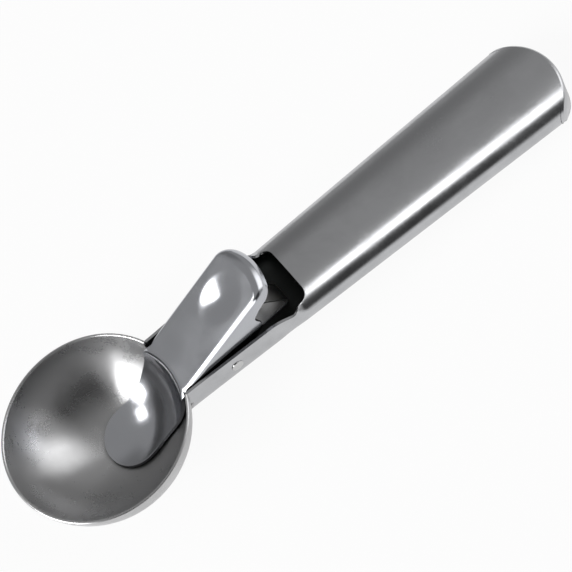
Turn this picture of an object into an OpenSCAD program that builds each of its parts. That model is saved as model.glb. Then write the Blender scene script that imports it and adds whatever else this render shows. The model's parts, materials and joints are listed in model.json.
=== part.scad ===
// Lever ice cream scoop: a sheet steel bowl on a hollow handle, with a thumb lever whose tongue
// sweeps the bowl. All lengths are in millimetres and all angles in degrees.
//
// The pieces are drawn with the bowl's rim level: the middle of the rim is the origin, +X runs
// back along the handle and +Z is up. lay_down() then sets the scoop the way it lies on a table,
// on the bottom of its bowl and the heel of its handle.

/* [Bowl] */
// Outer radius of the bowl's rim
rim_r = 27; // [24:0.5:30]
// Outer depth of the bowl below its rim
bowl_depth = 22.7; // [20:0.1:25]
// Squareness of the bowl's profile: 2 is an ellipse, more is fuller
bowl_n = 2; // [1.9:0.05:2.3]
// Thickness of the bowl's sheet
bowl_t = 0.9; // [0.7:0.1:1.2]
// Depth of the notch in the rim that the lever passes through
notch_depth = 3; // [2.8:0.1:3.4]

/* [Neck] */
// Outer width of the neck at the bowl
neck_front_w = 21.2; // [20.4:0.1:22]
// Outer width of the neck where it starts to close into the tube
neck_back_w = 23; // [22:0.2:24]
// Outer depth of the neck below the rim
neck_depth = 12; // [11:0.5:14]
// Squareness of the neck's section
neck_n = 6; // [5:0.5:7]
// Distance from the rim to where the neck starts to close into the tube
neck_len = 27; // [25:0.5:30]
// Thickness of the sheet that the neck and the handle are rolled from
sheet_t = 0.8; // [0.6:0.1:1]
// Size of the weld bead between the neck and the bowl
bead = 1; // [0.8:0.1:1.6]

/* [Handle] */
// Distance from the rim to the back edge of the window in the handle's top
window_len = 40.2; // [39:0.2:44]
// Width of the window behind the neck
window_w = 20.2; // [17:0.2:21]
// Radius of the window's two back corners
window_corner_r = 3.2; // [2:0.1:6]
// Distance over which the neck closes into the tube
closing_len = 10; // [7:0.5:11]
// Distance from the rim to the end of the handle
handle_len = 135.5; // [115:0.5:150]
// Width of the tube at the window
tube_front_w = 26; // [24:0.2:28]
// Height of the tube at the window
tube_front_h = 10.9; // [10:0.1:13]
// Width of the tube at its end
tube_back_w = 30.8; // [26:0.2:34]
// Height of the tube at its end
tube_back_h = 12.5; // [11:0.1:16]
// Squareness of the tube's section: 2 is an ellipse, more is squarer
tube_n = 2.4; // [2:0.1:3]
// How far the middle of the rounded end stands behind its two corners
end_sag = 8.5; // [4:0.5:10]
// Angle at which the end leans, with its bottom further back than its top
end_lean = 18; // [0:1:24]
// Thickness of the plate that closes the end
cap_t = 0.8; // [0.6:0.1:1.5]
// Width of the weld seam along the underside
seam_w = 1.6; // [1:0.1:2.5]

/* [Lever] */
// Thickness of the lever's sheet
lever_t = 0.9; // [0.7:0.1:1.1]
// Gap between each side of the lever and the neck's wall at the bowl
side_gap = 0.25; // [0.2:0.05:0.5]
// Depth of the plate's top below the rim where it leaves the bowl
plate_drop = 0.9; // [0.6:0.1:1.2]
// Angle at which the plate rises
plate_rise = 27.4; // [24:0.2:30]
// Length of the plate from the bowl's wall to the thumb end
plate_len = 38.8; // [36:0.2:42]
// Radius in plan of the thumb end
thumb_r = 16.5; // [12:0.5:24]
// Radius in plan of the thumb end's two corners
thumb_corner_r = 4.9; // [3.6:0.1:6]
// Radius over which the plate's edge rolls down at the thumb end
end_roll = 3; // [1.6:0.1:3.4]
// Radius over which the plate's edge rolls down along its sides
side_roll = 1.3; // [1:0.1:2]
// How far the rolled side goes on down over each ear
flange_lap = 0.2; // [0.1:0.05:0.4]
// Depth of the lip turned down round the thumb end
lip_depth = 3.8; // [3.5:0.1:4.4]
// Width of the oval dish under the thumb
dish_w = 13; // [9:0.5:14]
// Depth of that dish
dish_depth = 0.7; // [0.3:0.1:1]
// Distance from the thumb end forward to the middle of the dish
dish_back = 13; // [11:0.5:15]
// Radius of each ear around the pin
ear_r = 3.7; // [3:0.1:4]
// Distance from the pin back to the ear's rear corner
ear_len = 12.4; // [11:0.1:13]
// Height of that corner above the rim
ear_corner_h = 0.4; // [0:0.1:1]
// Length of the ear's rear edge that bulges out above the corner
ear_bulge = 1.3; // [0.8:0.1:1.5]
// Size of the scallop between the ear and the lip
ear_scallop = 1.4; // [0.8:0.1:1.6]
// Distance from the plate's front back to the front of each ear
ear_front = 1.4; // [1.2:0.1:2]
// How far each ear's face stands inside the plate's rolled side
ear_inset = 0.04; // [0.02:0.01:0.1]
// Width of the tongue's round tip
tongue_w = 17.8; // [15:0.2:18.4]
// Width of the tongue at its waist
waist_w = 16.9; // [14:0.1:17]
// Distance from the middle of the bowl back to that waist
waist_x = 12.5; // [11:0.5:15]
// How far the tongue's tip goes past the middle of the bowl
tongue_past = 3.6; // [0:0.2:6]
// Gap between the tongue and the bowl
tongue_gap = 0.6; // [0.4:0.05:1]

/* [Pivot pin] */
// Distance from the rim to the pin
pivot_back = 13.3; // [12:0.1:15]
// Depth of the pin below the rim
pivot_drop = 4.8; // [4.6:0.1:5.6]
// Diameter of the pin
pin_d = 2.8; // [2:0.1:3.4]
// Diameter of the heads formed on the pin
pin_head_d = 3.6; // [3:0.1:5]
// Height of those heads
pin_head_h = 0.5; // [0.3:0.1:0.8]
// Gap between the pin and the holes in the lever's ears
pin_gap = 0.05; // [0.02:0.01:0.1]

/* [Return spring] */
// Width of the spring's strip
spring_w = 6.4; // [4:0.2:9]
// Thickness of the spring's strip
spring_t = 0.5; // [0.3:0.05:0.7]
// Outer radius of the bend at the spring's back
spring_bend_r = 1.6; // [1.2:0.1:2]
// Length of the leaf behind the neck's floor, up to the bend
spring_back_leaf = 7.4; // [5:0.2:8]
// Length of the foot that is riveted to the neck's floor
spring_foot = 11; // [8:0.5:12]
// Angle at which the upper leaf rises towards the lever
spring_rise = 50; // [44:1:56]
// Angle through which the tip of the upper leaf is curled
spring_curl = 100; // [80:5:110]
// Radius of the curl at the spring's tip
spring_tip_r = 1.2; // [0.8:0.1:1.6]
// Gap between the spring's tip and the lever
spring_gap = 0.1; // [0.05:0.05:0.3]

/* [Spring rivet] */
// Diameter of the rivet's shank
rivet_d = 2.6; // [1.8:0.1:3]
// Diameter of the rivet's heads
rivet_head_d = 4.6; // [3.2:0.1:5.6]
// Height of the rivet's heads
rivet_head_h = 0.7; // [0.4:0.1:1]
// Distance from the end of the spring's foot to the rivet's head
rivet_margin = 0.7; // [0.4:0.1:1]

/* [Hidden] */
$fn = 64;
over = 5;
arc_step = 5;
profile_steps = 24;
seat_gap = 0.03;

// Places along the scoop, from the middle of the bowl
neck_back = rim_r + neck_len;
tube_start = neck_back + closing_len;
window_back = rim_r + window_len;
handle_back = rim_r + handle_len;
neck_start = rim_r / 2;
pivot = [rim_r + pivot_back, 0, -pivot_drop];
bore_r = pin_d / 2 + pin_gap;

// The neck keeps its front width up to the rim and widens behind it
function neck_w_at(x) =
    neck_front_w + (neck_back_w - neck_front_w) * max(x - rim_r, 0) / neck_len;

// The lever fits between the neck's walls where they are closest, and the notch in the rim ends
// under the middle of each wall
front_half = neck_front_w / 2 - sheet_t;
back_half = neck_back_w / 2 - sheet_t;
lever_half = front_half - side_gap;
notch_half = front_half + sheet_t / 2;

// The rounded end is an arc in plan through the handle's two back corners. It leans about the
// middle of the handle's height.
end_r = (pow(tube_back_w / 2, 2) + pow(end_sag, 2)) / (2 * end_sag);
end_mid_h = tube_back_h / 2;
corner_x = handle_back - end_sag;

// Height of the tube at a distance x from the middle of the bowl
function tube_h_at(x) =
    tube_front_h + (tube_back_h - tube_front_h) * (x - window_back) / (corner_x - window_back);

// Width of the tube at a distance x from the middle of the bowl
function tube_w_at(x) =
    tube_front_w + (tube_back_w - tube_front_w) * (x - window_back) / (corner_x - window_back);

// How far the bowl reaches below its rim when it is tipped by an angle
bowl_dual = bowl_n / (bowl_n - 1);
function bowl_reach(tip) =
    pow(pow(rim_r * sin(tip), bowl_dual) + pow(bowl_depth * cos(tip), bowl_dual), 1 / bowl_dual);

// The tilt at which the bowl's bottom and the handle's heel are level, found by repeated correction
heel_x = handle_back + end_mid_h * tan(end_lean);
heel_depth = tube_h_at(heel_x);
function level_tilt(guess, rounds) =
    rounds == 0 ? guess
    : level_tilt(atan((bowl_reach(guess) / cos(guess) - heel_depth) / heel_x), rounds - 1);
tilt = level_tilt(0, 8);
front_reach = bowl_reach(90 - tilt);
middle_x = (heel_x * cos(tilt) - heel_depth * sin(tilt) - front_reach) / 2;

// A point of the bowl's profile, moved in from its outside by an inset
function bowl_point(a, inset) =
    let (
        c = pow(cos(a), 2 / bowl_n),
        s = pow(sin(a), 2 / bowl_n),
        across = pow(c, bowl_n - 1) / rim_r,
        down = pow(s, bowl_n - 1) / bowl_depth,
        size = norm([across, down])
    )
    [max(rim_r * c - inset * across / size, 0), -bowl_depth * s + inset * down / size];

function bowl_profile(inset) =
    [for (i = [0 : profile_steps]) bowl_point(90 * i / profile_steps, inset)];

// A ring of points at a distance x along the scoop: an oval w wide, from low to high,
// between an ellipse (n = 2) and a rectangle
function ring(x, w, low, high, n) = [
    for (a = [0 : arc_step : 360 - arc_step])
        [
            x,
            w / 2 * sign(cos(a)) * pow(abs(cos(a)), 2 / n),
            (high + low) / 2 + (high - low) / 2 * sign(sin(a)) * pow(abs(sin(a)), 2 / n),
        ]
];

// The neck's ring is as deep above the rim as below it, so its walls meet the rim upright
function neck_ring(x, inset) =
    ring(x, neck_w_at(x) - 2 * inset, inset - neck_depth, neck_depth - inset, neck_n);
function tube_ring(x, inset) =
    ring(x, tube_w_at(x) - 2 * inset, inset - tube_h_at(x), -inset, tube_n);

// The lever's outline in its own plane: straight sides, two corner arcs and a flatter end arc.
// It is drawn in by an inset, and its end is drawn in further by a pull.
plate_x = rim_r - bowl_t - tongue_gap - lever_t;
plate_start = sqrt(pow(plate_x, 2) - pow(lever_half, 2)) - plate_x;
corner_y = lever_half - thumb_corner_r;
corner_turn = asin(corner_y / (thumb_r - thumb_corner_r));
end_x = plate_len - thumb_r;
corner_x_in_plane = end_x + (thumb_r - thumb_corner_r) * cos(corner_turn);
dish_x = plate_len - dish_back;

// A point of half the outline, from the middle of the end (0) over the corner (16) to the front
// (17). Its third number says how much of the end's roll it has.
function outline_point(i, inset, pull, start) =
    i <= 8 ? let (a = corner_turn * i / 8)
        [end_x - pull + (thumb_r - inset) * cos(a), (thumb_r - inset) * sin(a), 1]
    : i <= 16 ? let (
            a = corner_turn + (90 - corner_turn) * (i - 8) / 8,
            share = (16 - i) / 8,
            r = thumb_corner_r - inset
        )
        [corner_x_in_plane - pull * share + r * cos(a), corner_y + r * sin(a), share]
    : [start, lever_half - inset, 0];

// A ring round the plate where its edge has turned down by an angle, drawn in by a thickness t
function roll_ring(turn, t, start) =
    let (
        inset = side_roll - (side_roll - t) * sin(turn),
        pull = (end_roll - side_roll) * (1 - sin(turn))
    )
    [for (k = [-17 : 17])
        let (
            p = outline_point(abs(k), inset, pull, start),
            r = side_roll + (end_roll - side_roll) * p[2]
        )
        [p[0], sign(k) * p[1], (r - t) * cos(turn) - r]];

// The bottom ring of the plate's lip
function lip_ring(t, z, start) =
    [for (p = roll_ring(90, t, start)) [p[0], p[1], z]];

// Height of the plate's top at a distance x from the middle of the bowl
function plate_z(x) = (x - plate_x) * tan(plate_rise) - plate_drop;

// Sets the scoop down on a table, with the origin under its middle
module lay_down() {
    translate([-middle_x, 0, bowl_reach(tilt)])
        rotate([0, tilt, 0])
            children();
}

// Stands a flat shape, drawn in X and Z, up across Y
module across_y(width) {
    rotate([90, 0, 0])
        translate([0, 0, -width / 2])
            linear_extrude(width) children();
}

// A closed solid through a list of rings with equal numbers of points
module loft(rings) {
    count = len(rings[0]);
    last = len(rings) - 1;
    polyhedron(
        points = [for (r = rings) each r],
        faces = concat(
            [[for (i = [0 : count - 1]) i]],
            [for (k = [0 : last - 1], i = [0 : count - 1])
                let (a = k * count, j = (i + 1) % count)
                each [
                    [a + i, a + count + i, a + count + j],
                    [a + i, a + count + j, a + j],
                ]],
            [[for (i = [count - 1 : -1 : 0]) last * count + i]]
        )
    );
}

// The bowl's shape as a solid, drawn in by an inset and open upwards
module bowl_solid(inset) {
    top = [[0, over], [rim_r - inset, over]];
    rotate_extrude($fn = 128)
        polygon(concat(bowl_profile(inset), top));
}

// The neck alone, drawn in by an inset and starting a little further forward or back
module neck_solid(inset, forward) {
    loft([for (x = [neck_start - forward, rim_r, neck_back + forward]) neck_ring(x, inset)]);
}

// The tube behind the window, drawn in by an inset
module tube_solid(inset) {
    loft([tube_ring(window_back, inset), tube_ring(handle_back + over, inset)]);
}

// The neck and the tube in one, drawn in by an inset
module whole_solid(inset) {
    loft([
        neck_ring(neck_start, inset),
        neck_ring(rim_r, inset),
        neck_ring(neck_back, inset),
        tube_ring(tube_start, inset),
        tube_ring(handle_back + over, inset),
    ]);
}

// Everything below the level of the rim
module below_rim() {
    translate([0, -tube_back_w, -2 * neck_depth])
        cube([2 * handle_back, 2 * tube_back_w, 2 * neck_depth]);
}

// The space in front of the rounded end, drawn in by an inset
module end_limit(inset) {
    tall = 2 * tube_back_h;
    translate([handle_back, 0, -end_mid_h])
        rotate([0, -end_lean, 0]) {
            translate([-end_r, 0, -tall])
                cylinder(r = end_r - inset, h = 2 * tall, $fn = 180);
            translate([-tall, -tube_back_w, -tall])
                cube([tall - end_sag - inset, 2 * tube_back_w, 2 * tall]);
        }
    translate([0, -tube_back_w, -tall])
        cube([corner_x - tube_back_h, 2 * tube_back_w, 2 * tall]);
}

// The window, which runs on forwards as the neck's open top
module window() {
    half = window_w / 2;
    corner = window_back - window_corner_r;
    translate([0, 0, -neck_depth / 2])
        linear_extrude(neck_depth) {
            polygon([
                [0, -front_half],
                [rim_r, -front_half],
                [neck_back, -back_half],
                [tube_start - window_corner_r / 2, -half],
                [corner, -half],
                [corner, half],
                [tube_start - window_corner_r / 2, half],
                [neck_back, back_half],
                [rim_r, front_half],
                [0, front_half],
            ]);
            translate([corner - window_corner_r, window_corner_r - half])
                square([2 * window_corner_r, window_w - 2 * window_corner_r]);
            for (side = [-1, 1])
                translate([corner, side * (half - window_corner_r)])
                    circle(r = window_corner_r);
        }
}

module seam_strip() {
    translate([window_back, -seam_w / 2, -2 * neck_depth])
        cube([handle_len, seam_w, 2 * neck_depth - tube_front_h / 2]);
}

module bowl() {
    color("silver") lay_down()
        difference() {
            rotate_extrude($fn = 128)
                polygon(concat(
                    bowl_profile(0),
                    [for (i = [profile_steps : -1 : 0]) bowl_point(90 * i / profile_steps, bowl_t)]
                ));
            translate([rim_r / 2, -notch_half, -notch_depth])
                cube([rim_r, 2 * notch_half, 2 * notch_depth]);
        }
}

module handle_shell() {
    color("gray") lay_down()
        difference() {
            intersection() {
                whole_solid(0);
                below_rim();
                end_limit(0);
            }
            whole_solid(sheet_t);
            window();
            bowl_solid(0);
            seam_strip();
            translate(pivot)
                rotate([90, 0, 0])
                    cylinder(d = pin_d, h = 2 * neck_back_w, center = true);
            translate([rivet_x, 0, -neck_depth - over])
                cylinder(d = rivet_d, h = 2 * over);
        }
}

module end_cap() {
    color("silver") lay_down()
        intersection() {
            tube_solid(sheet_t);
            difference() {
                end_limit(0);
                end_limit(cap_t);
            }
        }
}

module seam_weld() {
    color("darkgray") lay_down()
        intersection() {
            difference() {
                tube_solid(0);
                tube_solid(sheet_t);
            }
            seam_strip();
            end_limit(0);
        }
}

// A bead round the neck where it meets the bowl
module neck_weld() {
    color("darkgray") lay_down()
        difference() {
            intersection() {
                bowl_solid(-bead);
                neck_solid(-bead, 0);
                translate([0, 0, -notch_depth / 2]) below_rim();
            }
            bowl_solid(0);
            neck_solid(0, over);
        }
}

// The plate's own plane, from the middle of the line where it leaves the bowl
module on_plate() {
    translate([plate_x, 0, -plate_drop])
        rotate([0, -plate_rise, 0])
            children();
}

// The plate's shape as a solid, drawn in by a thickness t
module plate_solid(t, depth, start) {
    loft(concat(
        [lip_ring(t, -depth, start)],
        [for (turn = [90 : -15 : 0]) roll_ring(turn, t, start)]
    ));
}

// The ball that presses the dish, with t added all round
module dish_ball(t) {
    dish_r = (pow(dish_w / 2, 2) + pow(dish_depth, 2)) / (2 * dish_depth);
    translate([dish_x, 0, dish_r - dish_depth])
        sphere(r = dish_r + t, $fn = 96);
}

module thumb_plate() {
    difference() {
        on_plate()
            difference() {
                plate_solid(0, lip_depth, plate_start);
                difference() {
                    plate_solid(lever_t, lip_depth + over, plate_start - over);
                    dish_ball(lever_t);
                }
                dish_ball(0);
                translate([plate_start - over, -rim_r, -flange_top - 2 * over])
                    cube([corner_x_in_plane - plate_start + over, 2 * rim_r, 2 * over]);
            }
        cylinder(r = plate_x + lever_t / 2, h = 4 * over, center = true, $fn = 128);
    }
}

// A point at a distance x from the middle of the bowl and a depth below the plate's top
function under_plate(x, depth) = [x, plate_z(x) - depth / cos(plate_rise)];

// One side of the lever: the flange under the plate's edge and the ear that goes down to the pin.
// The ear's rear edge is scalloped where it leaves the lip, and bulges out above its corner.
flange_top = side_roll + flange_lap;
ear_top = flange_top - flange_lap / 2;
pivot_in_plane = [pivot[0], pivot[2]];
module ear_shape() {
    front = plate_x + ear_front;
    back = pivot[0] + ear_len;
    lip_x = plate_x + (corner_x_in_plane + lever_t / 2) * cos(plate_rise);
    scallop_depth = lip_depth + ear_scallop;
    polygon([
        under_plate(front, ear_top),
        under_plate(lip_x, ear_top),
        under_plate(lip_x, lip_depth),
        under_plate(back - ear_scallop / 3, scallop_depth - ear_scallop / 3),
        under_plate(back - ear_scallop, scallop_depth),
        [back - ear_bulge, ear_corner_h + 4 * ear_bulge],
        [back - ear_bulge / 2, ear_corner_h + 3 * ear_bulge],
        [back, ear_corner_h + ear_bulge],
        [back - ear_bulge, ear_corner_h],
        pivot_in_plane + ear_r * [cos(40), -sin(40)],
        pivot_in_plane,
        pivot_in_plane - ear_r * [cos(30), sin(30)],
        [front + lever_t, -notch_depth],
    ]);
    translate(pivot_in_plane) circle(r = ear_r);
}

// The ears stand a hair inside the plate's rolled sides
module ears() {
    for (side = [-1, 1])
        translate([0, side * (lever_half - lever_t / 2 - ear_inset), 0])
            across_y(lever_t) ear_shape();
}

// The tongue's outline in plan: a round tip, a waist, and two sides that spread to the lever's width
tip_r = tongue_w / 2;
tip_x = tip_r - tongue_past;
tongue_plan = concat(
    [for (i = [-16 : 16]) let (a = 180 + 90 * i / 16) [tip_x + tip_r * cos(a), tip_r * sin(a)]],
    [
        [waist_x, -waist_w / 2],
        [plate_x + plate_start, -lever_half],
        [rim_r, -lever_half],
        [rim_r, lever_half],
        [plate_x + plate_start, lever_half],
        [waist_x, waist_w / 2],
    ]
);

// The tongue is a strip of a shell that follows the bowl's inside
module tongue() {
    intersection() {
        difference() {
            bowl_solid(bowl_t + tongue_gap);
            bowl_solid(bowl_t + tongue_gap + lever_t);
        }
        translate([0, 0, -bowl_depth])
            linear_extrude(bowl_depth + over) polygon(tongue_plan);
        on_plate()
            translate([-2 * rim_r, -rim_r, -4 * rim_r])
                cube([4 * rim_r, 2 * rim_r, 4 * rim_r]);
    }
}

module lever() {
    color("lightgray") lay_down()
        difference() {
            union() {
                thumb_plate();
                ears();
                tongue();
            }
            translate(pivot)
                rotate([90, 0, 0])
                    cylinder(r = bore_r, h = 2 * neck_back_w, center = true);
        }
}

// A low domed head with its flat side at zero
module rivet_head(d, h) {
    dome_r = (pow(d / 2, 2) + pow(h, 2)) / (2 * h);
    intersection() {
        translate([0, 0, h - dome_r]) sphere(r = dome_r);
        cylinder(d = d + 1, h = h + 1);
    }
}

module pivot_pin() {
    half = neck_w_at(pivot[0]) / 2;
    color("dimgray") lay_down()
        translate(pivot)
            for (side = [-1, 1])
                rotate([side * 90, 0, 0]) {
                    cylinder(d = pin_d, h = half);
                    translate([0, 0, half]) rivet_head(pin_head_d, pin_head_h);
                }
}

// The spring's middle line in X and Z runs from its foot on the neck's floor, up the slope to the
// bend, round it, and up to a curled tip that bears on the underside of the lever's dish
bend_mid_r = spring_bend_r - spring_t / 2;
foot_z = sheet_t - neck_depth + seat_gap + spring_t / 2;
floor_rise = neck_depth - tube_h_at(tube_start);
back_slope = atan((floor_rise + 5 * seat_gap) / closing_len);
function along(angle) = [cos(angle), sin(angle)];
function left_of(angle) = [-sin(angle), cos(angle)];
function bend_points(centre, r, from, to) =
    [for (i = [0 : 12]) centre - r * left_of(from + (to - from) * i / 12)];

foot_start = [neck_back - spring_foot, foot_z];
foot_end = [neck_back, foot_z];
rivet_x = foot_start[0] + rivet_margin + rivet_head_d / 2;
bend_start = foot_end + spring_back_leaf * along(back_slope);
bend_centre = bend_start + bend_mid_r * left_of(back_slope);
leaf_angle = 180 - spring_rise;
leaf_start = bend_centre - bend_mid_r * left_of(leaf_angle);
tip_mid_r = spring_tip_r - spring_t / 2;
plate_normal = left_of(plate_rise);
tip_clear = lever_t + dish_depth + spring_gap + spring_tip_r;
leaf_len = (
    plate_normal * ([plate_x, -plate_drop] - leaf_start - tip_mid_r * left_of(leaf_angle)) - tip_clear
) / (plate_normal * along(leaf_angle));
tip_centre = leaf_start + leaf_len * along(leaf_angle) + tip_mid_r * left_of(leaf_angle);
spring_path = concat(
    [foot_start, foot_end],
    bend_points(bend_centre, bend_mid_r, back_slope, leaf_angle),
    bend_points(tip_centre, tip_mid_r, leaf_angle, leaf_angle + spring_curl)
);

// A path's point moved sideways, square to the line through its two neighbours
function beside(path, i, side) =
    let (d = path[min(i + 1, len(path) - 1)] - path[max(i - 1, 0)])
    path[i] + side * [-d[1], d[0]] / norm(d);

module return_spring() {
    last = len(spring_path) - 1;
    color("silver") lay_down()
        difference() {
            across_y(spring_w)
                polygon(concat(
                    [for (i = [0 : last]) beside(spring_path, i, spring_t / 2)],
                    [for (i = [last : -1 : 0]) beside(spring_path, i, -spring_t / 2)]
                ));
            translate([rivet_x, 0, foot_z - over])
                cylinder(d = rivet_d, h = 2 * over);
        }
}

module spring_rivet() {
    color("dimgray") lay_down()
        translate([rivet_x, 0, 0]) {
            translate([0, 0, -neck_depth])
                cylinder(d = rivet_d, h = foot_z + spring_t / 2 + neck_depth);
            translate([0, 0, foot_z + spring_t / 2])
                rivet_head(rivet_head_d, rivet_head_h);
            translate([0, 0, -neck_depth])
                mirror([0, 0, 1]) rivet_head(rivet_head_d, rivet_head_h);
        }
}

bowl();
handle_shell();
end_cap();
seam_weld();
neck_weld();
lever();
pivot_pin();
return_spring();
spring_rivet();
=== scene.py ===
# %% [markdown]
# # Dressing a lever ice cream scoop
# A steel scoop of the lever kind: a round bowl on a hollow handle, and a thumb lever whose tongue
# lies in the bowl and pushes the ball of ice cream out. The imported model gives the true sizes, the
# joint and the solids. This script gives the scoop its looks: rolled sheet edges, a pressed thumb
# pad, weld beads and the finish of worn kitchen steel.
#
# It starts with the frame. Everything in it is in metres, at rest, lying on the table at z = 0.

# %% Load the frame
import json
from math import asin, atan, atan2, copysign, cos, degrees, hypot, pi, radians, sin, sqrt, tan

import bpy
import bmesh
import numpy as np
from mathutils import Matrix, Vector
from mathutils.geometry import tessellate_polygon


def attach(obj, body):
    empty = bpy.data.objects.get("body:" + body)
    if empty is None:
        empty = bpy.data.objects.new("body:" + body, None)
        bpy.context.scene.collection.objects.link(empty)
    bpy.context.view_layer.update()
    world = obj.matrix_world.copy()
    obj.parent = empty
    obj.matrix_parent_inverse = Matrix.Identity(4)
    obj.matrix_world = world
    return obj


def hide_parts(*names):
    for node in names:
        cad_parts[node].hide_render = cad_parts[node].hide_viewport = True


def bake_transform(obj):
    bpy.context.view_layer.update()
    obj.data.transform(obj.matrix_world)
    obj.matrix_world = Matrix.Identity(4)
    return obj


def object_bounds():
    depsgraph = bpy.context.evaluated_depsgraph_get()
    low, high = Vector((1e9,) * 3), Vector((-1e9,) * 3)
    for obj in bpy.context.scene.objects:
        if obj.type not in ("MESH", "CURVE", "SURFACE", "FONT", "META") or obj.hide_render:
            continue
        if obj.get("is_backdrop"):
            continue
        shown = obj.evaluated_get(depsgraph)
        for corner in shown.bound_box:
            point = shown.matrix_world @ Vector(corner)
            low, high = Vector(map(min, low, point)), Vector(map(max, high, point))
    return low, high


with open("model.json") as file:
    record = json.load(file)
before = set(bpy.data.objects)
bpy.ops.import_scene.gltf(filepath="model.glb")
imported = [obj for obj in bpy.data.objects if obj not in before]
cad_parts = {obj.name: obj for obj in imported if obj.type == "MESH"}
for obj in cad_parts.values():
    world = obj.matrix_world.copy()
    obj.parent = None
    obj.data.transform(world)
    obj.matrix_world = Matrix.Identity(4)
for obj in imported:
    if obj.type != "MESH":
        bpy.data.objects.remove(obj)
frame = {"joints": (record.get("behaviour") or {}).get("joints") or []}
cad_low, cad_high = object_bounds()

# %% [markdown]
# ## The maker's own frame
# Sheet metal is easiest to draw the way its maker holds it: with the bowl's rim level, the middle
# of the rim as the origin, +X back along the handle and lengths in millimetres. `to_row` then lays
# the points down the way the scoop rests on a table, on the bottom of its bowl and the heel of its
# handle. The tilt isn't written down: it follows from the two heights that have to meet the table.

# %% Driving sizes, in millimetres
# The bowl, and the notch in its rim that the lever passes through.
rim_r, bowl_depth, bowl_t, notch_depth = 27, 22.7, 0.9, 3
# The neck, its sheet and its weld. Of a squareness, 2 is an ellipse and more is squarer.
neck_front_w, neck_back_w, neck_depth, neck_n, neck_len = 21.2, 23, 12, 6, 27
sheet_t, bead = 0.8, 1
# The window behind the lever, where the neck closes to a tube, and the tube.
window_len, window_w, window_corner_r, closing_len = 40.2, 20.2, 3.2, 10
handle_len, tube_n = 135.5, 2.4
tube_front_w, tube_front_h, tube_back_w, tube_back_h = 26, 10.9, 30.8, 12.5
# The end's bow, its lean at the heel and on its face, the closing plate and the seam.
end_sag, end_lean, face_lean = 8.5, radians(18), radians(9)
cap_t, seam_w = 0.8, 1.6
# The lever: its plate, its thumb end with rolled edges and a pressed dish, and its tongue.
lever_t, side_gap, plate_drop, plate_rise = 0.9, 0.25, 0.9, radians(27.4)
plate_len, thumb_r, thumb_corner_r = 38.8, 16.5, 4.9
end_roll, side_roll, lip_depth = 3, 1.3, 3.8
dish_w, dish_depth, dish_back = 13, 0.7, 13
tongue_w, waist_w, waist_x, tongue_past, tongue_gap = 17.8, 16.9, 12.5, 3.6, 0.6
# The pivot's place behind the rim and below it, its pin and the play round that.
pivot_back, pivot_drop, pin_d, pin_gap = 13.3, 4.8, 2.8, 0.05

neck_back = rim_r + neck_len
tube_start = neck_back + closing_len
window_back = rim_r + window_len
handle_back = rim_r + handle_len
corner_x = handle_back - end_sag
front_half = neck_front_w / 2 - sheet_t
lever_half = front_half - side_gap
pivot = np.array([rim_r + pivot_back, 0, -pivot_drop])
print("handle's end", handle_back, "mm behind the bowl, lever", 2 * lever_half, "mm wide")

# %% Lay points down on the table


def tube_size(x):
    """Width and height of the tube at a distance x from the middle of the bowl."""
    share = (x - window_back) / (corner_x - window_back)
    return (tube_front_w + (tube_back_w - tube_front_w) * share,
            tube_front_h + (tube_back_h - tube_front_h) * share)


def bowl_reach(tip):
    """How far the bowl reaches below its rim when it is tipped by an angle."""
    return hypot(rim_r * sin(tip), bowl_depth * cos(tip))


heel_x = handle_back + tube_back_h / 2 * tan(end_lean)
heel_depth = tube_size(heel_x)[1]
tilt = 0
for _ in range(8):
    tilt = atan((bowl_reach(tilt) / cos(tilt) - heel_depth) / heel_x)
front_reach = bowl_reach(pi / 2 - tilt)
middle_x = (heel_x * cos(tilt) - heel_depth * sin(tilt) - front_reach) / 2
lay = np.array([[cos(tilt), 0, sin(tilt)], [0, 1, 0],
                [-sin(tilt), 0, cos(tilt)]])


def to_row(points):
    """Points of the maker's frame, in millimetres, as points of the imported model, in metres."""
    return (np.asarray(points, float) @ lay.T + [-middle_x, 0, bowl_reach(tilt)]) / 1000


joint = frame["joints"][0]
off = np.linalg.norm(to_row(pivot) - np.array(joint["pos_m"]))
print("tilt %.2f degrees, pivot %.4f mm from the joint" % (degrees(tilt), off * 1000))

# %% [markdown]
# ## Camera
# The scoop is seen from above and from its right, and close by, so that the bowl looks larger than
# the handle's end. A camera is a place and three directions, given here in the maker's frame and
# laid down with the rest. The lens follows from its focal length in pixels.

# %% Camera
camera_at = np.array([35.51, -172.05, 316.83])
camera_right = np.array([0.77346, -0.58615, -0.24122])
camera_up = np.array([0.62886, 0.66202, 0.40776])
camera_back = np.cross(camera_right, camera_up)
focal_px, picture_px, sensor_mm = 1323, 572, 36


def in_scene(name, data):
    """A new object in the scene."""
    made = bpy.data.objects.new(name, data)
    bpy.context.scene.collection.objects.link(made)
    return made


def stand(thing, at, *directions):
    """Places a camera or lamp by the directions to its right, up and to its back."""
    turn = Matrix(directions).transposed()
    thing.matrix_world = Matrix.Translation(at) @ turn.to_4x4()


camera = in_scene("camera", bpy.data.cameras.new("camera"))
camera.data.sensor_width = sensor_mm
camera.data.lens = sensor_mm * focal_px / picture_px
stand(camera, to_row(camera_at), lay @ camera_right, lay @ camera_up, lay @ camera_back)
bpy.context.scene.camera = camera
bpy.context.scene.view_settings.view_transform = "Standard"
print("camera at", [round(x, 3) for x in camera.location])

# %% [markdown]
# ## Shader maths as Python
# A finish is a small sum: a grain here, a scratch there, less gloss where the steel is worn. With
# nodes made by hand that sum is hard to read, so one class wraps a socket and gives it Python's
# operators. Every other node comes from `Finish.node`.

# %% A socket with operators


def operator(operation, swapped=False):
    """A method that adds one Math node. The reflected forms swap its two inputs."""
    def apply(self, other):
        return self.finish.maths(operation, *((other, self) if swapped else (self, other)))
    return apply


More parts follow.
